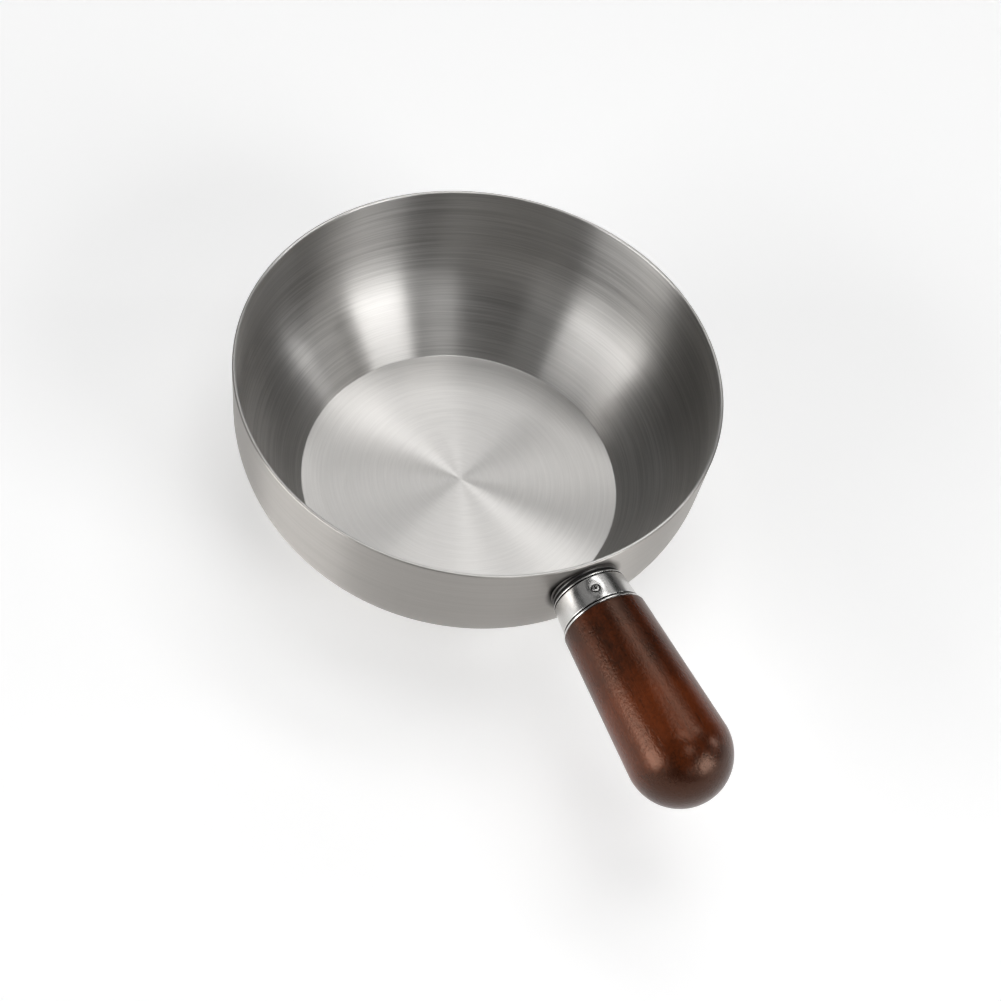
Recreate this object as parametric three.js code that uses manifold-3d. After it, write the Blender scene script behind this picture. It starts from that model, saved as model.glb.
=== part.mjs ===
import * as THREE from "three";
import { mergeVertices } from "three/addons/utils/BufferGeometryUtils.js";
import Module from "manifold-3d";

// A one-handled noodle pot: a pressed steel bowl that carries a turned wooden grip on a welded stud.
// Millimetres, +Z up. The origin is the centre of the underside, and the handle points along +X.

const { degToRad } = THREE.MathUtils;

// Bowl: a flat floor, a slanted lower wall, a round shoulder and an upper wall that is nearly upright.
const RIM_RADIUS = 90;
const HEIGHT = 70;
const FLOOR_RADIUS = 62.4;
const BASE = 1.8;
const WALL = 1.3;
const RIM_LEAN = degToRad(2);
const LOWER_SLOPE = degToRad(50);
const SHOULDER_BEND = 45;
const BASE_BEND = 3;
const FLOOR_BEND = 0.8;
const LIP_BEND = 0.5;

// Seat: a turned neck with a flange and a threaded stud, welded to the outside of the wall.
const HANDLE_DROP = 14.5;
const SEAT_NECK = 1.3;
const SEAT_NECK_RADIUS = 11.2;
const FLANGE_RADIUS = 12.9;
const FLANGE_THICKNESS = 0.5;
const STUD_RADIUS = 4;
const STUD_LENGTH = 36;
const STUD_CHAMFER = 0.8;
const SEAT_ROOT = 8;
const WELD_LEG = 1.2;
const WELD_RISE = 0.75;

// Heat washer between the flange and the ferrule.
const WASHER_RADIUS = 12.7;
const WASHER_THICKNESS = 1.2;

// Ferrule: a drawn steel cup round the front of the grip, with a lip ring and a rolled rear edge.
const FERRULE_LENGTH = 11.8;
const FERRULE_FRONT_RADIUS = 13.5;
const FERRULE_REAR_RADIUS = 14.6;
const FERRULE_WALL = 0.8;
const FERRULE_EDGE = 0.3;
const LIP_WIDTH = 0.6;
const GROOVE_WIDTH = 0.4;
const GROOVE_DEPTH = 0.3;
const BEAD_WIDTH = 0.9;
const BEAD_HEIGHT = 0.2;
const BEAD_BEND = 0.35;

// Ferrule screw, sunk in a pressed dimple that lies a little to the side of the top.
const SCREW_TURN = degToRad(12);
const DIMPLE_RADIUS = 3.4;
const DIMPLE_DEPTH = 1.1;
const HEAD_RADIUS = 1.7;
const HEAD_HEIGHT = 0.8;
const HEAD_BEND = 0.6;
const SHANK_RADIUS = 1.1;
const SHANK_LENGTH = 5.6;
const SCREW_POINT = 1.4;

// Grip: a tenon in the ferrule, a straight taper and a domed end, with a threaded insert in its bore.
const GRIP_LENGTH = 72.8;
const GRIP_NECK_RADIUS = 15.3;
const GRIP_SHOULDER_BEND = 0.8;
const BULB_RADIUS = 18.2;
const DOME_LENGTH = 18.4;
const INSERT_RADIUS = 6;
const INSERT_LENGTH = 22;
const BORE_RELIEF = 1.5;

// Clearances: between stacked faces, round a piece inside another, and along a cut that follows the wall.
const FACE_GAP = 0.1;
const SLIP = 0.25;
const CUT_GAP = 0.3;

// Fineness of the round surfaces, and a length that lets a cutter run past what it cuts.
const BOWL_SIDES = 72;
const HANDLE_SIDES = 32;
const BALL_SIDES = 24;
const SCREW_SIDES = 16;
const DOME_STEPS = 8;
const CHORD_ERROR = 0.08;
const PAST = 2;
const WELD_POINTS_WITHIN = 1e-4;

// Places that follow from the sizes above. Handle places are distances along the handle from the pot's axis.
const handleHeight = HEIGHT - HANDLE_DROP;
const wallFace = upperWallRadius(handleHeight, 0);
const flangeBack = wallFace + SEAT_NECK;
const flangeFace = flangeBack + FLANGE_THICKNESS;
const studEnd = flangeFace + STUD_LENGTH;
const washerBack = flangeFace + FACE_GAP;
const washerFace = washerBack + WASHER_THICKNESS;
const ferruleFront = washerFace + FACE_GAP;
const ferruleRear = ferruleFront + FERRULE_LENGTH;
const tenonFront = ferruleFront + FERRULE_WALL + FACE_GAP;
const gripShoulder = ferruleRear + FACE_GAP;
const gripEnd = gripShoulder + GRIP_LENGTH;
const screwPlace = (ferruleFront + ferruleRear) / 2;
const studClear = STUD_RADIUS + SLIP;

// The dimple and its inner bulge are two spheres about one centre, which lies above the ferrule.
const dimpleSphere = (DIMPLE_RADIUS ** 2 + DIMPLE_DEPTH ** 2) / (2 * DIMPLE_DEPTH);
const dimpleBottom = ferruleRadius(screwPlace) - DIMPLE_DEPTH;
const dimpleCentre = dimpleBottom + dimpleSphere;
const headSeat = dimpleCentre - Math.sqrt(dimpleSphere ** 2 - HEAD_RADIUS ** 2) + FACE_GAP;
const shankEnd = headSeat - SHANK_LENGTH;

const wasm = await Module();
wasm.setup();

// Radius of the upper wall at a height, for a surface that lies outside the bowl's skin by offset.
function upperWallRadius(z, offset) {
  return RIM_RADIUS - (HEIGHT - z) * Math.tan(RIM_LEAN) + offset / Math.cos(RIM_LEAN);
}

// The same for the slanted lower wall, which starts at the edge of the inside floor.
function lowerWallRadius(z, offset) {
  return FLOOR_RADIUS + (z - BASE) / Math.tan(LOWER_SLOPE) + (offset + WALL) / Math.sin(LOWER_SLOPE);
}

// Corner [radius, height, bend] where the two walls would meet if the shoulder were sharp.
function shoulderCorner(offset) {
  const spread = upperWallRadius(0, offset) - lowerWallRadius(0, offset);
  const height = spread / (1 / Math.tan(LOWER_SLOPE) - Math.tan(RIM_LEAN));
  return [upperWallRadius(height, offset), height, SHOULDER_BEND + offset];
}

// Outer radius of the ferrule's tapered skin at a place along the handle.
function ferruleRadius(place) {
  const share = (place - ferruleFront) / FERRULE_LENGTH;
  return FERRULE_FRONT_RADIUS + share * (FERRULE_REAR_RADIUS - FERRULE_FRONT_RADIUS);
}

// Points through corners [radius, height, bend], with an arc at each corner that has a bend.
function rounded(corners) {
  const places = corners.map(([radius, height]) => new THREE.Vector2(radius, height));
  return corners.flatMap(([, , bend = 0], i) => {
    const corner = places[i];
    return bend ? bendPoints(places[i - 1], corner, places[i + 1], bend) : [corner];
  });
}

// Points of the arc that rounds a corner, from the line coming in to the line going out.
function bendPoints(before, corner, after, bend) {
  const back = before.clone().sub(corner).normalize();
  const ahead = after.clone().sub(corner).normalize();
  const half = Math.acos(THREE.MathUtils.clamp(back.dot(ahead), -1, 1)) / 2;
  const middle = back.clone().add(ahead).normalize();
  const centre = corner.clone().addScaledVector(middle, bend / Math.sin(half));
  const start = corner.clone().addScaledVector(back, bend / Math.tan(half)).sub(centre);
  const end = corner.clone().addScaledVector(ahead, bend / Math.tan(half)).sub(centre);
  const turn = Math.atan2(start.cross(end), start.dot(end));
  const finest = 2 * Math.acos(Math.max(0, 1 - CHORD_ERROR / bend));
  const steps = Math.ceil(Math.abs(turn) / finest);
  const origin = new THREE.Vector2();
  return Array.from({ length: steps + 1 }, (_, k) =>
    start.clone().rotateAround(origin, (turn * k) / steps).add(centre),
  );
}

// A body turned about Z from the corners of its half section.
function turned(corners, sides) {
  return new THREE.LatheGeometry(rounded(corners), sides).rotateX(Math.PI / 2);
}

// A body turned about the handle's axis, where a corner's second number is a place along the handle.
function turnedOnHandle(corners) {
  return turned(corners, HANDLE_SIDES).rotateY(Math.PI / 2);
}

// Half section of a ring or tube between two radii and two places.
function ringCorners(inner, outer, from, to) {
  return [[inner, from], [outer, from], [outer, to], [inner, to], [inner, from]];
}

// Half section of a solid bar between two places.
function barCorners(radius, from, to) {
  return [[0, from], [radius, from], [radius, to], [0, to]];
}

// Stands a shape made about Z on the screw's line across the handle.
function onScrewLine(geometry) {
  return geometry.rotateX(SCREW_TURN).translate(screwPlace, 0, 0);
}

// A ball about the dimple's centre.
function dimpleBall(radius) {
  const ball = new THREE.SphereGeometry(radius, BALL_SIDES, BALL_SIDES / 2);
  return onScrewLine(ball.rotateX(Math.PI / 2).translate(0, 0, dimpleCentre));
}

// A closed geometry as a solid that can be joined and cut.
function solid(geometry) {
  const bare = new THREE.BufferGeometry();
  bare.setAttribute("position", geometry.getAttribute("position"));
  bare.setIndex(geometry.getIndex());
  const merged = mergeVertices(bare, WELD_POINTS_WITHIN);
  const vertProperties = merged.getAttribute("position").array;
  const triVerts = new Uint32Array(merged.getIndex().array);
  return new wasm.Manifold(new wasm.Mesh({ numProp: 3, vertProperties, triVerts }));
}

// A solid's surface as geometry again.
function surface(body) {
  const { vertProperties, triVerts } = body.getMesh();
  const geometry = new THREE.BufferGeometry();
  geometry.setAttribute("position", new THREE.BufferAttribute(vertProperties, 3));
  geometry.setIndex(new THREE.BufferAttribute(triVerts, 1));
  geometry.computeVertexNormals();
  return geometry;
}

// The space that the bowl fills, grown by offset, in the handle's own height.
function bowlSpace(offset) {
  const corners = [
    [0, -PAST],
    [lowerWallRadius(-PAST, offset), -PAST],
    shoulderCorner(offset),
    [upperWallRadius(HEIGHT + PAST, offset), HEIGHT + PAST],
    [0, HEIGHT + PAST],
  ];
  return solid(turned(corners, BOWL_SIDES).translate(0, 0, -handleHeight));
}

function bowl() {
  const corners = [
    [0, 0],
    [lowerWallRadius(0, 0), 0, BASE_BEND],
    shoulderCorner(0),
    [RIM_RADIUS, HEIGHT, LIP_BEND],
    [upperWallRadius(HEIGHT, -WALL), HEIGHT, LIP_BEND],
    shoulderCorner(-WALL),
    [FLOOR_RADIUS, BASE, FLOOR_BEND],
    [0, BASE],
  ];
  return turned(corners, BOWL_SIDES);
}

// Neck, flange and stud in one turned piece, with the neck's end cut to follow the wall.
function handleSeat() {
  const corners = [
    [0, wallFace - SEAT_ROOT],
    [SEAT_NECK_RADIUS, wallFace - SEAT_ROOT],
    [SEAT_NECK_RADIUS, flangeBack],
    [FLANGE_RADIUS, flangeBack],
    [FLANGE_RADIUS, flangeFace],
    [STUD_RADIUS, flangeFace],
    [STUD_RADIUS, studEnd - STUD_CHAMFER],
    [STUD_RADIUS - STUD_CHAMFER, studEnd],
    [0, studEnd],
  ];
  return surface(solid(turnedOnHandle(corners)).subtract(bowlSpace(CUT_GAP)));
}

// Weld bead round the neck, which follows the wall.
function seatWeld() {
  const inner = SEAT_NECK_RADIUS + SLIP;
  const corners = ringCorners(inner, inner + WELD_LEG, wallFace - SEAT_ROOT, flangeBack - FACE_GAP);
  const ring = solid(turnedOnHandle(corners)).intersect(bowlSpace(WELD_RISE));
  return surface(ring.subtract(bowlSpace(CUT_GAP)));
}

function heatWasher() {
  return turnedOnHandle(ringCorners(studClear, WASHER_RADIUS, washerBack, washerFace));
}

// The outside of the ferrule: front lip, groove, tapered skin, rear groove and rolled bead.
function ferruleOutside() {
  const lipEnd = ferruleFront + LIP_WIDTH;
  const skinStart = lipEnd + GROOVE_WIDTH;
  const beadStart = ferruleRear - BEAD_WIDTH;
  const skinEnd = beadStart - GROOVE_WIDTH;
  const beadRadius = FERRULE_REAR_RADIUS + BEAD_HEIGHT;
  return [
    [0, ferruleFront],
    [FERRULE_FRONT_RADIUS, ferruleFront, FERRULE_EDGE],
    [ferruleRadius(lipEnd), lipEnd],
    [ferruleRadius(lipEnd) - GROOVE_DEPTH, lipEnd],
    [ferruleRadius(skinStart) - GROOVE_DEPTH, skinStart],
    [ferruleRadius(skinStart), skinStart],
    [ferruleRadius(skinEnd), skinEnd],
    [ferruleRadius(skinEnd) - GROOVE_DEPTH, skinEnd],
    [ferruleRadius(beadStart) - GROOVE_DEPTH, beadStart],
    [beadRadius, beadStart, BEAD_BEND],
    [beadRadius, ferruleRear, BEAD_BEND],
    [0, ferruleRear],
  ];
}

// The cup is hollow behind its front, and its wall is pressed in round the screw.
function ferrule() {
  const hollowFront = ferruleFront + FERRULE_WALL;
  const hollowRear = ferruleRear + PAST;
  const hollow = [
    [0, hollowFront],
    [ferruleRadius(hollowFront) - FERRULE_WALL, hollowFront],
    [ferruleRadius(hollowRear) - FERRULE_WALL, hollowRear],
    [0, hollowRear],
  ];
  const inside = solid(turnedOnHandle(hollow)).subtract(solid(dimpleBall(dimpleSphere + FERRULE_WALL)));
  const studHole = turnedOnHandle(barCorners(studClear, ferruleFront - PAST, hollowFront + FACE_GAP));
  const cup = solid(turnedOnHandle(ferruleOutside())).subtract(inside).subtract(solid(studHole));
  return surface(cup.subtract(solid(dimpleBall(dimpleSphere))).subtract(screwHole()));
}

// The hole that the screw's shank takes through the ferrule and into the grip.
function screwHole() {
  const corners = barCorners(SHANK_RADIUS + SLIP, shankEnd - FACE_GAP, dimpleCentre);
  return solid(onScrewLine(turned(corners, SCREW_SIDES)));
}

function ferruleScrew() {
  const corners = [
    [0, shankEnd],
    [SHANK_RADIUS, shankEnd + SCREW_POINT],
    [SHANK_RADIUS, headSeat],
    [HEAD_RADIUS, headSeat],
    [HEAD_RADIUS, headSeat + HEAD_HEIGHT, HEAD_BEND],
    [0, headSeat + HEAD_HEIGHT],
  ];
  return onScrewLine(turned(corners, SCREW_SIDES));
}

// Half section of the grip: tenon, shoulder, straight taper and an elliptical dome.
function gripCorners() {
  const tenonRadius = (place) => ferruleRadius(place) - FERRULE_WALL - SLIP;
  const domeStart = gripEnd - DOME_LENGTH;
  const dome = Array.from({ length: DOME_STEPS + 1 }, (_, k) => {
    const turn = (k / DOME_STEPS) * (Math.PI / 2);
    return [k < DOME_STEPS ? BULB_RADIUS * Math.cos(turn) : 0, domeStart + DOME_LENGTH * Math.sin(turn)];
  });
  return [
    [0, tenonFront],
    [tenonRadius(tenonFront), tenonFront],
    [tenonRadius(gripShoulder), gripShoulder],
    [GRIP_NECK_RADIUS, gripShoulder, GRIP_SHOULDER_BEND],
    ...dome,
  ];
}

// The grip is bored for the insert and the stud, and relieved for the dimple and the screw.
function grip() {
  const boreEnd = tenonFront + INSERT_LENGTH + 2 * FACE_GAP;
  const bore = [
    [0, tenonFront - PAST],
    [INSERT_RADIUS + SLIP, tenonFront - PAST],
    [INSERT_RADIUS + SLIP, boreEnd],
    [studClear, boreEnd],
    [studClear, studEnd + BORE_RELIEF],
    [0, studEnd + BORE_RELIEF],
  ];
  const relief = dimpleBall(dimpleSphere + FERRULE_WALL + SLIP);
  const body = solid(turnedOnHandle(gripCorners())).subtract(solid(turnedOnHandle(bore)));
  return surface(body.subtract(solid(relief)).subtract(screwHole()));
}

function gripInsert() {
  const start = tenonFront + FACE_GAP;
  return turnedOnHandle(ringCorners(studClear, INSERT_RADIUS, start, start + INSERT_LENGTH));
}

// A named mesh with its own finish.
function piece(name, geometry, color, roughness, metalness) {
  const material = new THREE.MeshStandardMaterial({ color, roughness, metalness });
  const mesh = new THREE.Mesh(geometry, material);
  mesh.name = name;
  return mesh;
}

const handle = new THREE.Group();
handle.position.z = handleHeight;
handle.add(
  piece("handle_seat", handleSeat(), 0x8d8a86, 0.35, 1),
  piece("seat_weld", seatWeld(), 0x7b7874, 0.5, 1),
  piece("heat_washer", heatWasher(), 0x141312, 0.6, 0),
  piece("ferrule", ferrule(), 0xc9c6c2, 0.12, 1),
  piece("ferrule_screw", ferruleScrew(), 0xb5b2ae, 0.2, 1),
  piece("grip", grip(), 0x4d2016, 0.35, 0),
  piece("grip_insert", gripInsert(), 0xb08d4a, 0.3, 1),
);

const pot = new THREE.Group();
pot.add(piece("bowl", bowl(), 0xb6b3af, 0.3, 1), handle);

export default pot;
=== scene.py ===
import math

import bmesh
import bpy
from mathutils import Euler, Matrix, Vector

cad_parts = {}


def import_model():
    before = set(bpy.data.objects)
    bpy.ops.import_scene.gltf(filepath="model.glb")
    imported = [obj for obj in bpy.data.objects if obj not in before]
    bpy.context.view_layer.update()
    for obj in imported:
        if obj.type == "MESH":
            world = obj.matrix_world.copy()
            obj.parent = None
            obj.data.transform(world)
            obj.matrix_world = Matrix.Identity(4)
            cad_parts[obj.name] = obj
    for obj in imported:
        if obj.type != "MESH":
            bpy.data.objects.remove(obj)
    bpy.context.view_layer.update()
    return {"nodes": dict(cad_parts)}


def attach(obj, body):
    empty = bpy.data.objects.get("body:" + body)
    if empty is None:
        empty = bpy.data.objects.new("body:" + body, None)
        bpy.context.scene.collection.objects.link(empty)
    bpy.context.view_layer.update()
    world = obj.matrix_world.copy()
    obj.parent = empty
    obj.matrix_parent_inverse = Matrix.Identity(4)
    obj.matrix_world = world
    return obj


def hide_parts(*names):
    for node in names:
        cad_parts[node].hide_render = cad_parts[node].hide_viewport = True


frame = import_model()

# Sizes are in metres, and are the construction's unless a comment says otherwise. Bowl:
MM = 0.001
RIM_RADIUS = 90 * MM
HEIGHT = 70 * MM
FLOOR_RADIUS = 62.4 * MM
BASE = 1.8 * MM
WALL = 1.3 * MM
RIM_LEAN = math.radians(2)
LOWER_SLOPE = math.radians(50)
SHOULDER_BEND = 45 * MM
BASE_BEND = 3 * MM
FLOOR_BEND = 0.8 * MM
LIP_BEND = 0.5 * MM

# Seat, weld and heat washer. Their edge bends and the weld's ripples are only drawn here. A ripple is a share
# of the bead's rise.
HANDLE_DROP = 14.5 * MM
SEAT_NECK = 1.3 * MM
SEAT_NECK_RADIUS = 11.2 * MM
FLANGE_RADIUS = 12.9 * MM
FLANGE_THICKNESS = 0.5 * MM
FLANGE_EDGE = 0.15 * MM
STUD_RADIUS = 4 * MM
STUD_LENGTH = 36 * MM
STUD_CHAMFER = 0.8 * MM
WELD_LEG = 1.2 * MM
WELD_RISE = 0.75 * MM
WELD_RIPPLES = 34
WELD_RIPPLE = 0.18
WASHER_RADIUS = 12.7 * MM
WASHER_THICKNESS = 1.2 * MM
WASHER_EDGE = 0.2 * MM

# Ferrule. Its two grooves are a little wider and deeper than the construction's, with edges bent only here.
FERRULE_LENGTH = 11.8 * MM
FERRULE_FRONT_RADIUS = 13.5 * MM
FERRULE_REAR_RADIUS = 14.6 * MM
FERRULE_WALL = 0.8 * MM
FERRULE_EDGE = 0.3 * MM
LIP_WIDTH = 0.6 * MM
GROOVE_WIDTH = 0.6 * MM
GROOVE_DEPTH = 0.45 * MM
GROOVE_EDGE = 0.1 * MM
BEAD_WIDTH = 0.9 * MM
BEAD_HEIGHT = 0.2 * MM
BEAD_BEND = 0.35 * MM

# The grip makes room for the construction's round dimple. The ferrule shows a softer, shallower dent.
DIMPLE_RADIUS = 3.4 * MM
DIMPLE_DEPTH = 1.1 * MM
DENT_DEPTH = 0.3 * MM
DENT_REACH = 5.4 * MM
DENT_SPREAD = 2.2 * MM

# Screw. Its head is smaller than the construction's, and its counterbore and cross recess are drawn only
# here. A bar that cuts the recess has one share of its size above the head, and another at the floor.
SCREW_TURN = math.radians(12)
HEAD_RADIUS = 1.3 * MM
HEAD_HEIGHT = 0.55 * MM
HEAD_GAP = 0.3 * MM
HEAD_SINK = 0.45 * MM
HEAD_BEND = 0.35 * MM
SHANK_RADIUS = 1.1 * MM
SHANK_LENGTH = 5.6 * MM
SCREW_POINT = 1.4 * MM
RECESS_LENGTH = 1.6 * MM
RECESS_WIDTH = 0.55 * MM
RECESS_DEPTH = 0.35 * MM
RECESS_TURN = math.radians(20)
RECESS_SHARE_ABOVE = 1.2
RECESS_SHARE_AT_FLOOR = 0.6

# Grip.
GRIP_LENGTH = 72.8 * MM
GRIP_NECK_RADIUS = 15.3 * MM
GRIP_SHOULDER_BEND = 0.8 * MM
BULB_RADIUS = 18.2 * MM
DOME_LENGTH = 18.4 * MM
INSERT_RADIUS = 6 * MM
INSERT_LENGTH = 22 * MM
BORE_RELIEF = 1.5 * MM

# Clearances between stacked faces, round a piece inside another, and along a cut that follows the wall.
FACE_GAP = 0.1 * MM
SLIP = 0.25 * MM
CUT_GAP = 0.3 * MM

# Fineness of the drawn surfaces, which is greater than the construction's: sides round an axis, steps along a
# curve, and distances within which points fall together or lie on an axis.
BOWL_SIDES = 288
HANDLE_SIDES = 192
FERRULE_SIDES = 288
SCREW_SIDES = 48
STAGE_SIDES = 96
SEAT_RINGS = 4
ARC_STEP = math.radians(3)
ARC_LENGTH = 0.05 * MM
ARC_FEWEST_STEPS = 3
DOME_STEPS = 40
WELD_STEPS = 10
SKIN_STEP = 0.25 * MM
MERGE_GAP = 0.001 * MM
ON_AXIS = 1e-9

# Angles between faces beyond which an edge is sharp.
EDGE_CREASE = math.radians(40)
WELD_CREASE = math.radians(60)
CUT_CREASE = math.radians(35)
SCREW_CREASE = math.radians(30)

# Camera: its lens and sensor in millimetres, and how far the centre of the bowl's floor lies to the right of,
# below and ahead of it.
CAMERA_AZIMUTH = math.radians(54.0)
CAMERA_ELEVATION = math.radians(54.06)
CAMERA_ROLL = math.radians(13.05)
CAMERA_LENS = 66.27
SENSOR_WIDTH = 36
FLOOR_CENTRE_FROM_CAMERA = Vector((-15.94 * MM, -8.69 * MM, 726.3 * MM))

# Bowl steel: the colours of the dark and the pale lines, and the roughness of each, by face. The level
# faces' paler colours are painted light, and the outer faces' darker colours are painted shade.
WALL_STEEL = ((0.48, 0.47, 0.455), (0.59, 0.577, 0.56))
LIT_FLOOR_STEEL = ((0.57, 0.558, 0.542), (0.63, 0.618, 0.60))
SHADED_OUTER_STEEL = ((0.38, 0.362, 0.342), (0.42, 0.402, 0.38))
INNER_ROUGHNESS = (0.31, 0.35)
OUTER_ROUGHNESS = (0.34, 0.38)
# Painted shade round the weld on the bowl's outer wall: its colour, and the width over which it fades out.
PAINTED_WELD_SHADE = (0.06, 0.055, 0.05)
PAINTED_WELD_SHADE_WIDTH = 2.6 * MM

# Brushing: its turn is a share of a full one, and a streak's length is in radians. On level and outer faces
# the lines have only a share of their depth. A face becomes level or outer between two cosines.
BRUSH_ANISOTROPY = 0.95
BRUSH_TURN = 0.25
FINE_STREAK = 0.35
FINE_PITCH = 0.4 * MM
BROAD_STREAK = 0.8
BROAD_PITCH = 1.3 * MM
LINE_DETAIL = 1
LINE_SPREAD = (0.75, 1.25)
LINE_DEPTH = 0.006 * MM
QUIET_LINES = 0.35
LEVEL_COSINES = (0.9, 0.98)
OUTER_COSINES = (0.05, 0.15)

# Polished metals: colours and roughness. Marks vary the roughness by shares, and waves bend the surface.
FERRULE_STEEL = (0.66, 0.65, 0.635)
FERRULE_ROUGHNESS = 0.22
SCREW_STEEL = (0.45, 0.44, 0.43)
SCREW_ROUGHNESS = 0.15
# The seat's and the weld's steel are darkened as painted shade for the recess between the bowl's wall and the
# flange.
SHADED_SEAT_STEEL = (0.16, 0.155, 0.15)
SEAT_ROUGHNESS = 0.35
SHADED_WELD_STEEL = (0.12, 0.112, 0.105)
WELD_ROUGHNESS = 0.45
INSERT_BRASS = (0.62, 0.44, 0.18)
INSERT_ROUGHNESS = 0.3
MARKS_PER_METRE = 180
MARK_DETAIL = 4
MARK_SHARES = (0.8, 1.25)
WAVES_PER_METRE = 90
WAVE_DETAIL = 1
WAVE_DEPTH = 0.01 * MM

# Painted shade in the grooves, round the screw's head, and on the screw below its top.
PAINTED_SHADE = (0.03, 0.028, 0.026)
PAINTED_SHADE_FADE = 0.25 * MM
UNPAINTED_DEPTH = 0.06 * MM
SHADED_DEPTH = 0.14 * MM

# Washer rubber.
RUBBER_COLOUR = (0.008, 0.0075, 0.007, 1)
RUBBER_GLOSS = 0.2
RUBBER_ROUGHNESS = (0.55, 0.75)
RUBBER_SPECKS_PER_METRE = 1600
RUBBER_SPECK_DEPTH = 0.02 * MM

# Wood: its colours and gloss, and its features' lengths along and across the handle. The shares say how much
# each feature adds to the tone, and the shades how much the neck and the end take from it.
WOOD_DARK = (0.024, 0.0058, 0.0020)
WOOD_RED = (0.152, 0.030, 0.0068)
WOOD_PORE = (0, 0, 0)
WOOD_GLOSS = 0.52
WOOD_GLOSS_TINT = (1, 0.58, 0.42, 1)
WOOD_ROUGHNESS = (0.30, 0.23)
GRAIN_SIZE = (45 * MM, 5.3 * MM)
GRAIN_DETAIL = 6
GRAIN_BREAKUP = 0.62
GRAIN_SHARE = 0.3
GRAIN_DEPTH = 0.05 * MM
PATCH_SIZE = 17 * MM
PATCH_SHARE = 0.45
SPECK_SIZE = 1.1 * MM
SPECK_DETAIL = 2
SPECK_SHARE = 0.25
SPECK_HEIGHT = 1.5
PORE_SIZE = (8 * MM, 0.7 * MM)
PORE_DETAIL = 2
PORE_SPREAD = (0.28, 0.42)
PORE_STAIN = 0.35
NECK_SHADE = 0.42
NECK_SHADE_LENGTH = 42 * MM
# The far end is darker partly as end grain and partly as painted shade.
END_SHADE = 0.8

# Noise: usual detail and break-up, the range that most of its values lie in, and a faint bump's strength.
NOISE_DETAIL = 3
NOISE_BREAKUP = 0.55
NOISE_SPREAD = (0.3, 0.7)
FAINT_BUMP = 0.5

# Numbers of a mix's sockets: two values, two colours, and the mixed colour.
MIX_VALUES = (2, 3)
MIX_COLOURS = (6, 7)
MIXED_COLOUR = 2

# Floor and backdrop. Their lift, which is light of their own, grows between two distances from the pot's
# axis. Between two heights of the backdrop it falls to a share of itself.
WHITE = (1, 1, 1, 1)
FLOOR_COLOUR = (0.9, 0.9, 0.9, 1)
FLOOR_ROUGHNESS = 0.9
FLOOR_LIFT = 0.33
FAR_LIFT = 0.8
LIFT_REACH = (1.2, 3)
STAGE_REACH = 10
STAGE_WALL = 3
STAGE_BEND = 1
WALL_SHADE = 0.15
WALL_SHADE_HEIGHT = (0.15, 0.9)
WORLD_STRENGTH = 0.01

# Softboxes: azimuth from the handle and elevation in degrees, width, height and radiance.
LAMP_DISTANCE = 2.0
SOFTBOXES = {
    "front_left_softbox": (269, 16, 1.44, 0.97, 6.0),
    "front_left_fill": (299, 18, 0.8, 0.8, 0.7),
    "front_softbox": (357, 25, 0.75, 0.6, 1.0),
    "right_softbox": (25, 25, 0.86, 0.89, 6.2),
    "right_low_softbox": (40, 14, 0.6, 0.4, 1.8),
    "right_fill": (58, 26, 0.5, 0.5, 0.8),
    "right_strip": (71, 26, 0.2, 0.7, 5.4),
    "back_softbox": (127, 61, 1.62, 0.37, 3.4),
    "back_fill": (135, 44, 1.0, 0.45, 0.6),
    "top_softbox": (135, 83, 1.08, 0.66, 2.4),
    "handle_softbox": (1, 64, 0.42, 0.44, 3.6),
    "left_softbox": (228, 47, 1.0, 0.8, 0.25),
    "left_back_softbox": (192, 41, 0.8, 0.8, 0.4),
}


# Profiles


def upper_wall_radius(height, offset):
    return RIM_RADIUS - (HEIGHT - height) * math.tan(RIM_LEAN) + offset / math.cos(RIM_LEAN)


def lower_wall_radius(height, offset):
    slant = (height - BASE) / math.tan(LOWER_SLOPE)
    return FLOOR_RADIUS + slant + (offset + WALL) / math.sin(LOWER_SLOPE)


def shoulder_corner(offset):
    """Where the two walls would meet, and the bend that rounds that corner."""
    spread = upper_wall_radius(0, offset) - lower_wall_radius(0, offset)
    height = spread / (1 / math.tan(LOWER_SLOPE) - math.tan(RIM_LEAN))
    return upper_wall_radius(height, offset), height, SHOULDER_BEND + offset


def ferrule_radius(place):
    share = (place - FERRULE_FRONT) / FERRULE_LENGTH
    return FERRULE_FRONT_RADIUS + share * (FERRULE_REAR_RADIUS - FERRULE_FRONT_RADIUS)


# Places along the handle are distances from the pot's axis.
HANDLE_HEIGHT = HEIGHT - HANDLE_DROP
ON_HANDLE = Matrix.Translation((0, 0, HANDLE_HEIGHT)) @ Matrix.Rotation(math.pi / 2, 4, "Y")
WALL_FACE = upper_wall_radius(HANDLE_HEIGHT, 0)
FLANGE_BACK = WALL_FACE + SEAT_NECK
FLANGE_FACE = FLANGE_BACK + FLANGE_THICKNESS
STUD_END = FLANGE_FACE + STUD_LENGTH
WASHER_BACK = FLANGE_FACE + FACE_GAP
WASHER_FACE = WASHER_BACK + WASHER_THICKNESS
FERRULE_FRONT = WASHER_FACE + FACE_GAP
FERRULE_REAR = FERRULE_FRONT + FERRULE_LENGTH
TENON_FRONT = FERRULE_FRONT + FERRULE_WALL + FACE_GAP
GRIP_SHOULDER = FERRULE_REAR + FACE_GAP
GRIP_END = GRIP_SHOULDER + GRIP_LENGTH
DOME_START = GRIP_END - DOME_LENGTH
STUD_CLEAR = STUD_RADIUS + SLIP

# Grooves of the ferrule, between its lip and its bead.
LIP_END = FERRULE_FRONT + LIP_WIDTH
SKIN_START = LIP_END + GROOVE_WIDTH
BEAD_START = FERRULE_REAR - BEAD_WIDTH
SKIN_END = BEAD_START - GROOVE_WIDTH

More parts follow.
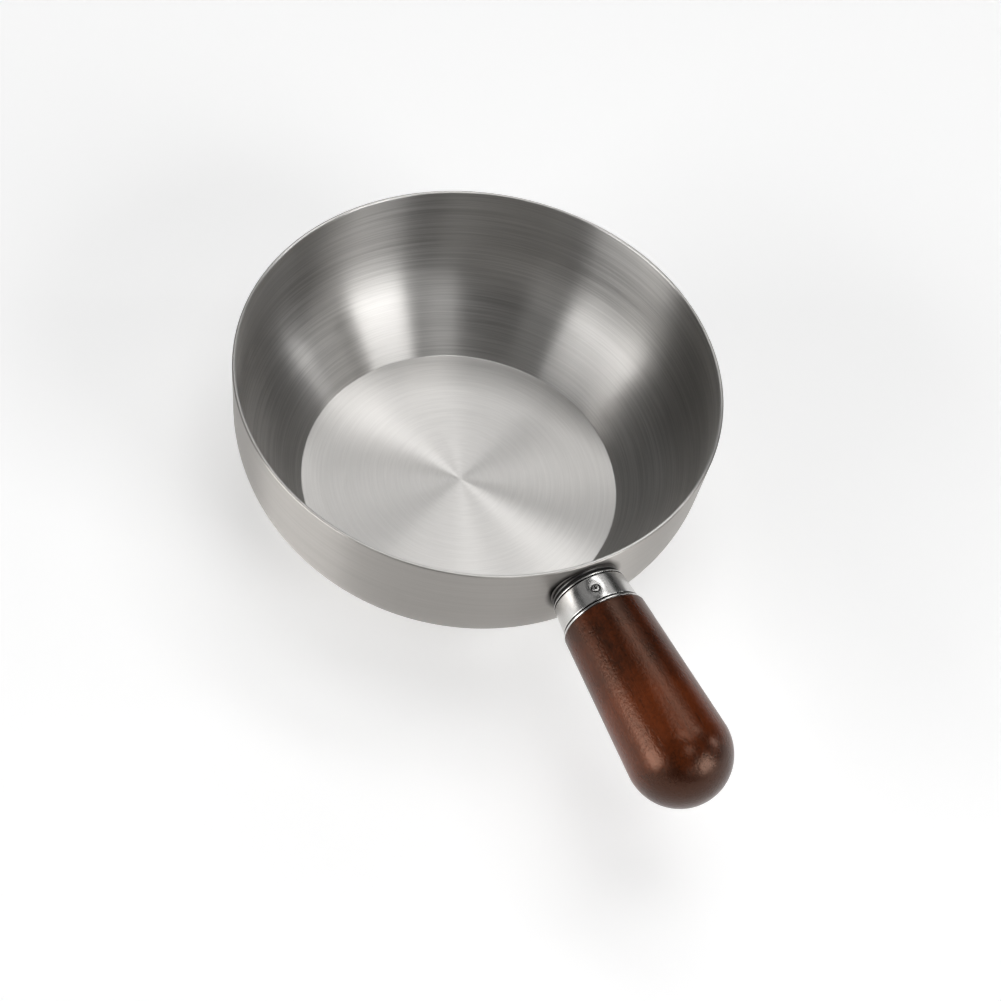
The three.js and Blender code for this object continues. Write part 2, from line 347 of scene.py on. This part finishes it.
# Heights along the screw are distances from the handle's axis. The dimple is part of a ball.
SCREW_PLACE = (FERRULE_FRONT + FERRULE_REAR) / 2
ON_SCREW = Matrix.Translation((SCREW_PLACE, 0, HANDLE_HEIGHT)) @ Matrix.Rotation(SCREW_TURN, 4, "X")
DIMPLE_BALL = (DIMPLE_RADIUS ** 2 + DIMPLE_DEPTH ** 2) / (2 * DIMPLE_DEPTH)
DIMPLE_CENTRE = ferrule_radius(SCREW_PLACE) - DIMPLE_DEPTH + DIMPLE_BALL
DENT_AT_HEAD = DENT_DEPTH * math.exp(-(HEAD_RADIUS / DENT_SPREAD) ** 2)
SINK_FLOOR = ferrule_radius(SCREW_PLACE) - DENT_AT_HEAD - HEAD_SINK
SINK_RADIUS = HEAD_RADIUS + HEAD_GAP
HEAD_SEAT = SINK_FLOOR + FACE_GAP
HEAD_TOP = HEAD_SEAT + HEAD_HEIGHT
SHANK_END = HEAD_SEAT - SHANK_LENGTH


# Meshes


def bend_points(before, corner, after, bend):
    """The arc that rounds a corner of an outline."""
    back = (before - corner).normalized()
    ahead = (after - corner).normalized()
    half = math.acos(max(-1, min(1, back.dot(ahead)))) / 2
    centre = corner + (back + ahead).normalized() * (bend / math.sin(half))
    start = corner + back * (bend / math.tan(half)) - centre
    end = corner + ahead * (bend / math.tan(half)) - centre
    turn = math.atan2(start.x * end.y - start.y * end.x, start.dot(end))
    steps = math.ceil(min(abs(turn) / ARC_STEP, abs(turn) * bend / ARC_LENGTH))
    steps = max(ARC_FEWEST_STEPS, steps)
    return [centre + Matrix.Rotation(turn * k / steps, 2) @ start for k in range(steps + 1)]


def rounded(corners):
    """Points through (radius, place) or (radius, place, bend) corners."""
    places = [Vector(corner[:2]) for corner in corners]
    points = []
    for i, corner in enumerate(corners):
        if len(corner) > 2:
            points += bend_points(places[i - 1], places[i], places[i + 1], corner[2])
        else:
            points.append(places[i])
    return points


def finer(points, step):
    """The same outline with points no further apart than a step."""
    made = [points[0]]
    for start, end in zip(points, points[1:]):
        count = max(1, math.ceil((end - start).length / step))
        made += [start.lerp(end, k / count) for k in range(1, count + 1)]
    return made


def angles_round(sides):
    return [2 * math.pi * k / sides for k in range(sides)]


def skin(bm, rings):
    """Faces between neighbouring rings of points, where a ring may be a single point."""
    for low, high in zip(rings, rings[1:]):
        sides = max(len(low), len(high))
        for k in range(sides):
            n = (k + 1) % sides
            corners = [low[k % len(low)], low[n % len(low)], high[n % len(high)], high[k % len(high)]]
            bm.faces.new(list(dict.fromkeys(corners)))


def add_object(name, data):
    made = bpy.data.objects.new(name, data)
    bpy.context.scene.collection.objects.link(made)
    return made


def piece_from(name, bm):
    bmesh.ops.recalc_face_normals(bm, faces=bm.faces)
    mesh = bpy.data.meshes.new(name)
    bm.to_mesh(mesh)
    bm.free()
    mesh.shade_smooth()
    return add_object(name, mesh)


def turned(name, points, sides, stand=Matrix(), closed=False):
    """A body turned about Z from its half section, then stood in place."""
    bm = bmesh.new()
    angles = angles_round(sides)
    rings = []
    for point in points:
        if point.x < ON_AXIS:
            places = [Vector((0, 0, point.y))]
        else:
            places = [Vector((point.x * math.cos(a), point.x * math.sin(a), point.y)) for a in angles]
        rings.append([bm.verts.new(stand @ place) for place in places])
    if closed:
        rings.append(rings[0])
    skin(bm, rings)
    return piece_from(name, bm)


def crease(piece, angle):
    """Sharp edges where the faces turn by more than an angle, and smooth shading elsewhere."""
    piece.data.set_sharp_from_angle(angle=angle)


def cut(piece, cutter):
    """Takes one piece out of another, merges points that fall together and removes the cutter."""
    modifier = piece.modifiers.new("cut", "BOOLEAN")
    modifier.operation = "DIFFERENCE"
    modifier.solver = "EXACT"
    modifier.object = cutter
    shown = piece.evaluated_get(bpy.context.evaluated_depsgraph_get())
    result = bpy.data.meshes.new_from_object(shown)
    bm = bmesh.new()
    bm.from_mesh(result)
    bmesh.ops.remove_doubles(bm, verts=bm.verts, dist=MERGE_GAP)
    bm.to_mesh(result)
    bm.free()
    piece.modifiers.clear()
    piece.data = result
    result.name = piece.name
    bpy.data.objects.remove(cutter)


def outer_wall_radius(height, offset):
    """Radius of a surface that lies outside the bowl's skin, at the handle's heights."""
    _, corner_height, bend = shoulder_corner(offset)
    turn = math.pi / 2 - LOWER_SLOPE - RIM_LEAN
    bend_top = corner_height + bend * math.tan(turn / 2) * math.cos(RIM_LEAN)
    if height >= bend_top:
        return upper_wall_radius(height, offset)
    centre_height = bend_top + bend * math.sin(RIM_LEAN)
    centre_radius = upper_wall_radius(bend_top, offset) - bend * math.cos(RIM_LEAN)
    return centre_radius + math.sqrt(bend ** 2 - (height - centre_height) ** 2)


def wall_place(radius, angle, offset):
    """Where a line along the handle, at a radius and angle about its axis, meets the bowl's wall."""
    across = radius * math.sin(angle)
    height = HANDLE_HEIGHT + radius * math.cos(angle)
    return Vector((math.sqrt(outer_wall_radius(height, offset) ** 2 - across ** 2), across, height))


def handle_place(point, angle):
    """Where a point of a half section lies at an angle about the handle's axis."""
    return Vector((point.y, point.x * math.sin(angle), HANDLE_HEIGHT + point.x * math.cos(angle)))


def bowl():
    corners = [
        (0, 0),
        (lower_wall_radius(0, 0), 0, BASE_BEND),
        shoulder_corner(0),
        (RIM_RADIUS, HEIGHT, LIP_BEND),
        (upper_wall_radius(HEIGHT, -WALL), HEIGHT, LIP_BEND),
        shoulder_corner(-WALL),
        (FLOOR_RADIUS, BASE, FLOOR_BEND),
        (0, BASE),
    ]
    return turned("bowl_shell", rounded(corners), BOWL_SIDES)


def handle_seat():
    """Neck, flange and stud, with the neck's end cut to follow the wall."""
    corners = [
        (SEAT_NECK_RADIUS, FLANGE_BACK),
        (FLANGE_RADIUS, FLANGE_BACK, FLANGE_EDGE),
        (FLANGE_RADIUS, FLANGE_FACE, FLANGE_EDGE),
        (STUD_RADIUS, FLANGE_FACE),
        (STUD_RADIUS, STUD_END - STUD_CHAMFER),
        (STUD_RADIUS - STUD_CHAMFER, STUD_END),
        (0, STUD_END),
    ]
    bm = bmesh.new()
    angles = angles_round(HANDLE_SIDES)
    rings = [[bm.verts.new(wall_place(0, 0, CUT_GAP))]]
    for k in range(1, SEAT_RINGS + 1):
        radius = SEAT_NECK_RADIUS * k / SEAT_RINGS
        rings.append([bm.verts.new(wall_place(radius, a, CUT_GAP)) for a in angles])
    for point in rounded(corners):
        places = angles[:1] if point.x < ON_AXIS else angles
        rings.append([bm.verts.new(handle_place(point, a)) for a in places])
    skin(bm, rings)
    seat = piece_from("seat_neck_and_stud", bm)
    crease(seat, EDGE_CREASE)
    return seat


def seat_weld():
    """A rippled bead round the neck, which follows the wall."""
    inner = SEAT_NECK_RADIUS + SLIP
    rise = WELD_RISE - CUT_GAP
    bm = bmesh.new()
    rows = []
    for angle in angles_round(2 * HANDLE_SIDES):
        ripple = 1 - WELD_RIPPLE * (1 + math.cos(WELD_RIPPLES * angle)) / 2
        row = []
        for j in range(WELD_STEPS + 1):
            across = math.pi * j / WELD_STEPS
            radius = inner + WELD_LEG * (1 - math.cos(across)) / 2
            place = wall_place(radius, angle, CUT_GAP)
            place.x += rise * ripple * math.sin(across)
            row.append(bm.verts.new(place))
        rows.append(row)
    skin(bm, rows + rows[:1])
    weld = piece_from("weld_bead", bm)
    crease(weld, WELD_CREASE)
    return weld


def heat_washer():
    corners = [
        (STUD_CLEAR, WASHER_BACK),
        (WASHER_RADIUS, WASHER_BACK, WASHER_EDGE),
        (WASHER_RADIUS, WASHER_FACE, WASHER_EDGE),
        (STUD_CLEAR, WASHER_FACE),
    ]
    washer = turned("washer_ring", rounded(corners), HANDLE_SIDES, ON_HANDLE, closed=True)
    crease(washer, EDGE_CREASE)
    return washer


def ferrule_outline():
    """Half section of the cup, from the stud hole round the outside and back through the hollow."""
    bead_radius = FERRULE_REAR_RADIUS + BEAD_HEIGHT
    hollow_front = FERRULE_FRONT + FERRULE_WALL
    return [
        (STUD_CLEAR, FERRULE_FRONT),
        (FERRULE_FRONT_RADIUS, FERRULE_FRONT, FERRULE_EDGE),
        (ferrule_radius(LIP_END), LIP_END, GROOVE_EDGE),
        (ferrule_radius(LIP_END) - GROOVE_DEPTH, LIP_END),
        (ferrule_radius(SKIN_START) - GROOVE_DEPTH, SKIN_START),
        (ferrule_radius(SKIN_START), SKIN_START, GROOVE_EDGE),
        (ferrule_radius(SKIN_END), SKIN_END, GROOVE_EDGE),
        (ferrule_radius(SKIN_END) - GROOVE_DEPTH, SKIN_END),
        (ferrule_radius(BEAD_START) - GROOVE_DEPTH, BEAD_START),
        (bead_radius, BEAD_START, BEAD_BEND),
        (bead_radius, FERRULE_REAR, BEAD_BEND),
        (ferrule_radius(FERRULE_REAR) - FERRULE_WALL, FERRULE_REAR),
        (ferrule_radius(hollow_front) - FERRULE_WALL, hollow_front),
        (STUD_CLEAR, hollow_front),
    ]


def press_dent(cup):
    """Pushes the skin and the inside of the cup down to a soft, shallow dent."""
    to_screw = ON_SCREW.inverted()
    for vertex in cup.data.vertices:
        place = to_screw @ vertex.co
        aside = math.hypot(place.x, place.y)
        if place.z > 0 and aside < DENT_REACH:
            place.z -= DENT_DEPTH * math.exp(-(aside / DENT_SPREAD) ** 2)
            vertex.co = ON_SCREW @ place


def screw_hole():
    """The room for the screw: a hole round its shank, and a counterbore that goes on outwards."""
    corners = [
        (0, SHANK_END - FACE_GAP),
        (SHANK_RADIUS + SLIP, SHANK_END - FACE_GAP),
        (SHANK_RADIUS + SLIP, SINK_FLOOR),
        (SINK_RADIUS, SINK_FLOOR),
        (SINK_RADIUS, DIMPLE_CENTRE),
        (0, DIMPLE_CENTRE),
    ]
    return turned("screw_hole", rounded(corners), SCREW_SIDES, ON_SCREW)


def ferrule():
    outline = finer(rounded(ferrule_outline()), SKIN_STEP)
    cup = turned("ferrule_cup", outline, FERRULE_SIDES, ON_HANDLE, closed=True)
    press_dent(cup)
    cut(cup, screw_hole())
    crease(cup, CUT_CREASE)
    return cup


def recess_slot(spin):
    """One bar of the cross recess, narrower at its floor."""
    bm = bmesh.new()
    stand = ON_SCREW @ Matrix.Rotation(spin, 4, "Z")
    above = (HEAD_TOP + RECESS_DEPTH, RECESS_SHARE_ABOVE)
    floor = (HEAD_TOP - RECESS_DEPTH, RECESS_SHARE_AT_FLOOR)
    ends = []
    for level, share in (above, floor):
        length = RECESS_LENGTH / 2 * share
        width = RECESS_WIDTH / 2 * share
        for x, y in ((length, width), (-length, width), (-length, -width), (length, -width)):
            ends.append(bm.verts.new(stand @ Vector((x, y, level))))
    bm.faces.new(ends[:4])
    bm.faces.new(ends[:3:-1])
    for k in range(4):
        n = (k + 1) % 4
        bm.faces.new((ends[k], ends[4 + k], ends[4 + n], ends[n]))
    return piece_from("recess_slot", bm)


def ferrule_screw():
    corners = [
        (0, SHANK_END),
        (SHANK_RADIUS, SHANK_END + SCREW_POINT),
        (SHANK_RADIUS, HEAD_SEAT),
        (HEAD_RADIUS, HEAD_SEAT),
        (HEAD_RADIUS, HEAD_TOP, HEAD_BEND),
        (0, HEAD_TOP),
    ]
    screw = turned("cross_screw", rounded(corners), SCREW_SIDES, ON_SCREW)
    for spin in (RECESS_TURN, RECESS_TURN + math.pi / 2):
        cut(screw, recess_slot(spin))
    crease(screw, SCREW_CREASE)
    return screw


def dimple_ball(radius):
    """A ball about the centre of the dimple's."""
    bm = bmesh.new()
    bmesh.ops.create_uvsphere(
        bm,
        u_segments=SCREW_SIDES,
        v_segments=SCREW_SIDES // 2,
        radius=radius,
        matrix=ON_SCREW @ Matrix.Translation((0, 0, DIMPLE_CENTRE)),
    )
    return piece_from("dimple_ball", bm)


def tenon_radius(place):
    return ferrule_radius(place) - FERRULE_WALL - SLIP


def grip():
    """Tenon, shoulder, straight taper and elliptical dome, bored for the insert and the stud."""
    bore_end = TENON_FRONT + INSERT_LENGTH + 2 * FACE_GAP
    corners = [
        (0, STUD_END + BORE_RELIEF),
        (STUD_CLEAR, STUD_END + BORE_RELIEF),
        (STUD_CLEAR, bore_end),
        (INSERT_RADIUS + SLIP, bore_end),
        (INSERT_RADIUS + SLIP, TENON_FRONT),
        (tenon_radius(TENON_FRONT), TENON_FRONT),
        (tenon_radius(GRIP_SHOULDER), GRIP_SHOULDER),
        (GRIP_NECK_RADIUS, GRIP_SHOULDER, GRIP_SHOULDER_BEND),
        (BULB_RADIUS, DOME_START),
    ]
    points = rounded(corners)
    for k in range(1, DOME_STEPS + 1):
        turn = math.pi / 2 * k / DOME_STEPS
        radius = BULB_RADIUS * math.cos(turn) if k < DOME_STEPS else 0
        points.append(Vector((radius, DOME_START + DOME_LENGTH * math.sin(turn))))
    wood_body = turned("grip_wood", points, HANDLE_SIDES, ON_HANDLE)
    cut(wood_body, dimple_ball(DIMPLE_BALL + FERRULE_WALL + SLIP))
    cut(wood_body, screw_hole())
    crease(wood_body, CUT_CREASE)
    return wood_body


# Materials


def material(name, **sockets):
    """A material whose shader has constant sockets, named with underscores for spaces."""
    made = bpy.data.materials.new(name)
    made.use_nodes = True
    shader = made.node_tree.nodes["Principled BSDF"]
    for socket, value in sockets.items():
        shader.inputs[socket.replace("_", " ")].default_value = value
    return made, made.node_tree, shader


def feed(tree, socket, value):
    """Links a node's output to a socket, or sets the socket to a plain value."""
    if isinstance(value, bpy.types.NodeSocket):
        tree.links.new(value, socket)
    else:
        socket.default_value = value


def node(tree, kind, inputs, output=0, **settings):
    """A node with its settings, and its inputs set or linked. Gives one of its outputs."""
    made = tree.nodes.new("ShaderNode" + kind)
    for key, value in settings.items():
        setattr(made, key, value)
    for socket, value in inputs.items():
        feed(tree, made.inputs[socket], value)
    return made.outputs[output]


def maths(tree, operation, first, second):
    return node(tree, "Math", {0: first, 1: second}, operation=operation)


def vectors(tree, operation, first, second, output="Vector"):
    return node(tree, "VectorMath", {0: first, 1: second}, output, operation=operation)


def vector_length(tree, vector):
    return node(tree, "VectorMath", {0: vector}, "Value", operation="LENGTH")


def object_place(tree):
    return tree.nodes.new("ShaderNodeTexCoord").outputs["Object"]


def along_handle(tree):
    return node(tree, "SeparateXYZ", {0: object_place(tree)}, "X")


def noise(tree, place, scale=1, detail=NOISE_DETAIL, breakup=NOISE_BREAKUP):
    inputs = {"Vector": place, "Scale": scale, "Detail": detail, "Roughness": breakup}
    return node(tree, "TexNoise", inputs)


def remap(tree, value, low, high, start=NOISE_SPREAD[0], end=NOISE_SPREAD[1]):
    """A value stretched from one range, which is usually a noise's, to another."""
    inputs = {"Value": value, "From Min": start, "From Max": end, "To Min": low, "To Max": high}
    return node(tree, "MapRange", inputs)


def blend(tree, share, first, second):
    """A colour between two, each a colour or another node's output."""
    inputs = {0: share}
    for socket, end in zip(MIX_COLOURS, (first, second)):
        inputs[socket] = end if isinstance(end, bpy.types.NodeSocket) else (*end, 1)
    return node(tree, "Mix", inputs, MIXED_COLOUR, data_type="RGBA")


def bump(tree, shader, height, distance, strength=1.0):
    inputs = {"Height": height, "Distance": distance, "Strength": strength}
    tree.links.new(node(tree, "Bump", inputs), shader.inputs["Normal"])


def round_axis(tree):
    """The distance from Z, the height, and the direction away from Z."""
    split = tree.nodes.new("ShaderNodeSeparateXYZ")
    tree.links.new(object_place(tree), split.inputs[0])
    flat = node(tree, "CombineXYZ", {"X": split.outputs["X"], "Y": split.outputs["Y"]})
    away = node(tree, "VectorMath", {0: flat}, operation="NORMALIZE")
    return vector_length(tree, flat), split.outputs["Z"], away


def turned_lines(tree, streak, pitch):
    """Noise drawn out to lines round Z: a streak's length in radians, and the lines' pitch."""
    distance, height, away = round_axis(tree)
    along = maths(tree, "DIVIDE", maths(tree, "ADD", distance, height), pitch)
    drawn = vectors(tree, "MULTIPLY", away, (1 / streak,) * 3)
    place = vectors(tree, "ADD", drawn, node(tree, "CombineXYZ", {"Z": along}))
    return noise(tree, place, detail=LINE_DETAIL)


def bowl_sides(tree):
    """Shares that are 1 on the bowl's level faces and on its outer faces, from where they face."""
    facing = tree.nodes.new("ShaderNodeNewGeometry").outputs["Normal"]
    upright = node(tree, "SeparateXYZ", {0: facing}, "Z")
    level = remap(tree, maths(tree, "ABSOLUTE", upright, 0), 0, 1, *LEVEL_COSINES)
    outward = vectors(tree, "DOT_PRODUCT", facing, round_axis(tree)[2], "Value")
    return level, remap(tree, outward, 0, 1, *OUTER_COSINES)


def nearness(tree, centre, reach, fade):
    """A share that is 1 within a reach of a place and falls to 0 a little further out."""
    distance = vector_length(tree, vectors(tree, "SUBTRACT", object_place(tree), centre))
    return remap(tree, distance, 1, 0, reach, reach + fade)


def bowl_colour(tree, tone, level, outside):
    """Dark and pale lines, with painted light on level faces and painted shade on outer faces and round the
    weld.
    """
    inner = blend(tree, level, blend(tree, tone, *WALL_STEEL), blend(tree, tone, *LIT_FLOOR_STEEL))
    weld_edge = SEAT_NECK_RADIUS + WELD_LEG
    weld_shade = nearness(tree, (WALL_FACE, 0, HANDLE_HEIGHT), weld_edge, PAINTED_WELD_SHADE_WIDTH)
    outer = blend(tree, weld_shade, blend(tree, tone, *SHADED_OUTER_STEEL), PAINTED_WELD_SHADE)
    return blend(tree, outside, inner, outer)


def bowl_roughness(tree, tone, outside):
    inner = remap(tree, tone, *INNER_ROUGHNESS, 0, 1)
    outer = remap(tree, tone, *OUTER_ROUGHNESS, 0, 1)
    return node(tree, "Mix", {0: outside, MIX_VALUES[0]: inner, MIX_VALUES[1]: outer})


def brushed_steel(name):
    """Steel brushed round Z, with shallower lines on its level and outer faces."""
    made, tree, shader = material(
        name, Metallic=1, Anisotropic=BRUSH_ANISOTROPY, Anisotropic_Rotation=BRUSH_TURN
    )
    tangent = node(tree, "Tangent", {}, direction_type="RADIAL", axis="Z")
    tree.links.new(tangent, shader.inputs["Tangent"])
    level, outside = bowl_sides(tree)
    fine = turned_lines(tree, FINE_STREAK, FINE_PITCH)
    lines = maths(tree, "ADD", fine, turned_lines(tree, BROAD_STREAK, BROAD_PITCH))
    tone = remap(tree, lines, 0, 1, *LINE_SPREAD)
    tree.links.new(bowl_colour(tree, tone, level, outside), shader.inputs["Base Color"])
    tree.links.new(bowl_roughness(tree, tone, outside), shader.inputs["Roughness"])
    quiet = remap(tree, maths(tree, "MAXIMUM", level, outside), 1, QUIET_LINES, 0, 1)
    bump(tree, shader, maths(tree, "MULTIPLY", lines, quiet), LINE_DEPTH)
    return made


def long_noise(tree, size, detail, breakup=NOISE_BREAKUP):
    """Noise whose features have a length along the handle and a width across it."""
    length, width = size
    scale = (1 / length, 1 / width, 1 / width)
    place = node(tree, "Mapping", {"Vector": object_place(tree), "Scale": scale})
    return noise(tree, place, detail=detail, breakup=breakup)


def end_shade(tree):
    """How much darker the wood is towards its neck, and towards its far end as end grain and painted shade.
    """
    along = along_handle(tree)
    neck = remap(tree, along, NECK_SHADE, 0, GRIP_SHOULDER, GRIP_SHOULDER + NECK_SHADE_LENGTH)
    return maths(tree, "ADD", neck, remap(tree, along, 0, END_SHADE, DOME_START, GRIP_END))


def wood(name):
    """Dark red-brown wood under satin varnish, with grain, pores, patches and specks."""
    made, tree, shader = material(name, Specular_IOR_Level=WOOD_GLOSS, Specular_Tint=WOOD_GLOSS_TINT)
    grain = long_noise(tree, GRAIN_SIZE, GRAIN_DETAIL, GRAIN_BREAKUP)
    pores = long_noise(tree, PORE_SIZE, PORE_DETAIL)
    patches = noise(tree, object_place(tree), 1 / PATCH_SIZE)
    specks = noise(tree, object_place(tree), 1 / SPECK_SIZE, SPECK_DETAIL)
    tone = maths(tree, "ADD", remap(tree, grain, 0, GRAIN_SHARE), remap(tree, patches, 0, PATCH_SHARE))
    tone = maths(tree, "ADD", tone, remap(tree, specks, 0, SPECK_SHARE))
    tone = maths(tree, "SUBTRACT", tone, end_shade(tree))
    stain = remap(tree, pores, PORE_STAIN, 0, *PORE_SPREAD)
    colour = blend(tree, stain, blend(tree, tone, WOOD_DARK, WOOD_RED), WOOD_PORE)
    tree.links.new(colour, shader.inputs["Base Color"])
    tree.links.new(remap(tree, grain, *WOOD_ROUGHNESS), shader.inputs["Roughness"])
    height = maths(tree, "ADD", maths(tree, "MULTIPLY", specks, SPECK_HEIGHT), grain)
    bump(tree, shader, maths(tree, "SUBTRACT", height, stain), GRAIN_DEPTH)
    return made


def polished_metal(name, colour, roughness):
    """Metal with faint marks and waves left by polishing."""
    made, tree, shader = material(name, Metallic=1, Base_Color=(*colour, 1))
    marks = noise(tree, object_place(tree), MARKS_PER_METRE, MARK_DETAIL)
    least, most = [roughness * share for share in MARK_SHARES]
    tree.links.new(remap(tree, marks, least, most), shader.inputs["Roughness"])
    waves = noise(tree, object_place(tree), WAVES_PER_METRE, WAVE_DETAIL)
    bump(tree, shader, waves, WAVE_DEPTH, FAINT_BUMP)
    return made


def darken(made, colour, shade_share):
    """Gives a material painted shade in place of its colour where a share is 1."""
    tree = made.node_tree
    shader = tree.nodes["Principled BSDF"]
    tree.links.new(blend(tree, shade_share, colour, PAINTED_SHADE), shader.inputs["Base Color"])


def groove_mark(tree, start):
    """A share that is 1 in the groove that starts at a place along the handle."""
    half = GROOVE_WIDTH / 2
    return node(tree, "Math", {0: along_handle(tree), 1: start + half, 2: half}, operation="COMPARE")


def ferrule_steel(name):
    """Polished steel with painted shade in the two grooves and round the screw's head."""
    made = polished_metal(name, FERRULE_STEEL, FERRULE_ROUGHNESS)
    tree = made.node_tree
    grooves = maths(tree, "MAXIMUM", groove_mark(tree, LIP_END), groove_mark(tree, SKIN_END))
    round_head = nearness(tree, ON_SCREW @ Vector((0, 0, HEAD_SEAT)), SINK_RADIUS, PAINTED_SHADE_FADE)
    darken(made, FERRULE_STEEL, maths(tree, "MAXIMUM", grooves, round_head))
    return made


def screw_steel(name):
    """Polished steel with painted shade below the top of the screw's head."""
    made = polished_metal(name, SCREW_STEEL, SCREW_ROUGHNESS)
    tree = made.node_tree
    offset = vectors(tree, "SUBTRACT", object_place(tree), ON_SCREW.translation)
    height = vectors(tree, "DOT_PRODUCT", offset, ON_SCREW.col[2].xyz, "Value")
    darken(made, SCREW_STEEL, remap(tree, height, 1, 0, HEAD_TOP - SHADED_DEPTH, HEAD_TOP - UNPAINTED_DEPTH))
    return made


def black_rubber(name):
    made, tree, shader = material(name, Base_Color=RUBBER_COLOUR, Specular_IOR_Level=RUBBER_GLOSS)
    specks = noise(tree, object_place(tree), RUBBER_SPECKS_PER_METRE)
    tree.links.new(remap(tree, specks, *RUBBER_ROUGHNESS), shader.inputs["Roughness"])
    bump(tree, shader, specks, RUBBER_SPECK_DEPTH, FAINT_BUMP)
    return made


# Camera, stage and light


def camera():
    data = bpy.data.cameras.new("camera")
    data.lens = CAMERA_LENS
    data.sensor_width = SENSOR_WIDTH
    made = add_object("camera", data)
    turn = Euler((math.pi / 2 - CAMERA_ELEVATION, 0, CAMERA_AZIMUTH)).to_matrix()
    turn = turn @ Matrix.Rotation(CAMERA_ROLL, 3, "Z")
    right, below, ahead = FLOOR_CENTRE_FROM_CAMERA
    place = Vector((0, 0, BASE)) - turn @ Vector((right, -below, -ahead))
    made.matrix_world = Matrix.Translation(place) @ turn.to_4x4()
    bpy.context.scene.camera = made


def softbox(name, azimuth, elevation, width, height, radiance):
    """A rectangular lamp that faces the pot from an azimuth, counted from the handle, and an elevation."""
    data = bpy.data.lights.new(name, "AREA")
    data.shape = "RECTANGLE"
    data.size = width
    data.size_y = height
    data.energy = radiance * math.pi * width * height
    lamp = add_object(name, data)
    lamp.visible_camera = False
    tilt = math.pi / 2 - math.radians(elevation)
    heading = math.pi / 2 + math.radians(azimuth)
    turn = Euler((tilt, 0, heading)).to_matrix().to_4x4()
    lamp.matrix_world = turn @ Matrix.Translation((0, 0, LAMP_DISTANCE))


def stage():
    """A pale floor and round backdrop, lifted towards white for the camera and in reflections."""
    corners = [(0, 0), (STAGE_REACH, 0, STAGE_BEND), (STAGE_REACH, STAGE_WALL)]
    floor = turned("floor", rounded(corners), STAGE_SIDES)
    made, tree, shader = material(
        "floor_paper", Base_Color=FLOOR_COLOUR, Roughness=FLOOR_ROUGHNESS, Emission_Color=WHITE
    )
    path = tree.nodes.new("ShaderNodeLightPath").outputs
    seen = maths(tree, "ADD", path["Is Camera Ray"], path["Is Glossy Ray"])
    seen = maths(tree, "ADD", seen, path["Is Transmission Ray"])
    distance, height, _ = round_axis(tree)
    lift = remap(tree, distance, FLOOR_LIFT, FAR_LIFT, *LIFT_REACH)
    lift = maths(tree, "MULTIPLY", lift, remap(tree, height, 1, WALL_SHADE, *WALL_SHADE_HEIGHT))
    tree.links.new(maths(tree, "MULTIPLY", seen, lift), shader.inputs["Emission Strength"])
    floor.data.materials.append(made)


def world():
    made = bpy.data.worlds.new("studio")
    made.use_nodes = True
    background = made.node_tree.nodes["Background"]
    background.inputs["Color"].default_value = WHITE
    background.inputs["Strength"].default_value = WORLD_STRENGTH
    bpy.context.scene.world = made


def give_material(piece, finish):
    piece.data.materials.clear()
    piece.data.materials.append(finish)


def finish_piece(piece, node_name, finish):
    """Gives a piece its material, and puts it in its node's place."""
    give_material(piece, finish)
    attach(piece, "root")
    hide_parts(node_name)


camera()
finish_piece(bowl(), "bowl", brushed_steel("bowl_steel"))
# The seat and the weld get steel darkened as painted shade.
seat_finish = polished_metal("seat_steel", SHADED_SEAT_STEEL, SEAT_ROUGHNESS)
finish_piece(handle_seat(), "handle_seat", seat_finish)
weld_finish = polished_metal("weld_steel", SHADED_WELD_STEEL, WELD_ROUGHNESS)
finish_piece(seat_weld(), "seat_weld", weld_finish)
finish_piece(heat_washer(), "heat_washer", black_rubber("washer_black"))
finish_piece(ferrule(), "ferrule", ferrule_steel("ferrule_steel"))
finish_piece(ferrule_screw(), "ferrule_screw", screw_steel("screw_steel"))
finish_piece(grip(), "grip", wood("grip_wood"))
insert_finish = polished_metal("insert_brass", INSERT_BRASS, INSERT_ROUGHNESS)
give_material(frame["nodes"]["grip_insert"], insert_finish)
stage()
world()
for lamp_name, settings in SOFTBOXES.items():
    softbox(lamp_name, *settings)
bpy.context.scene.view_settings.view_transform = "Standard"
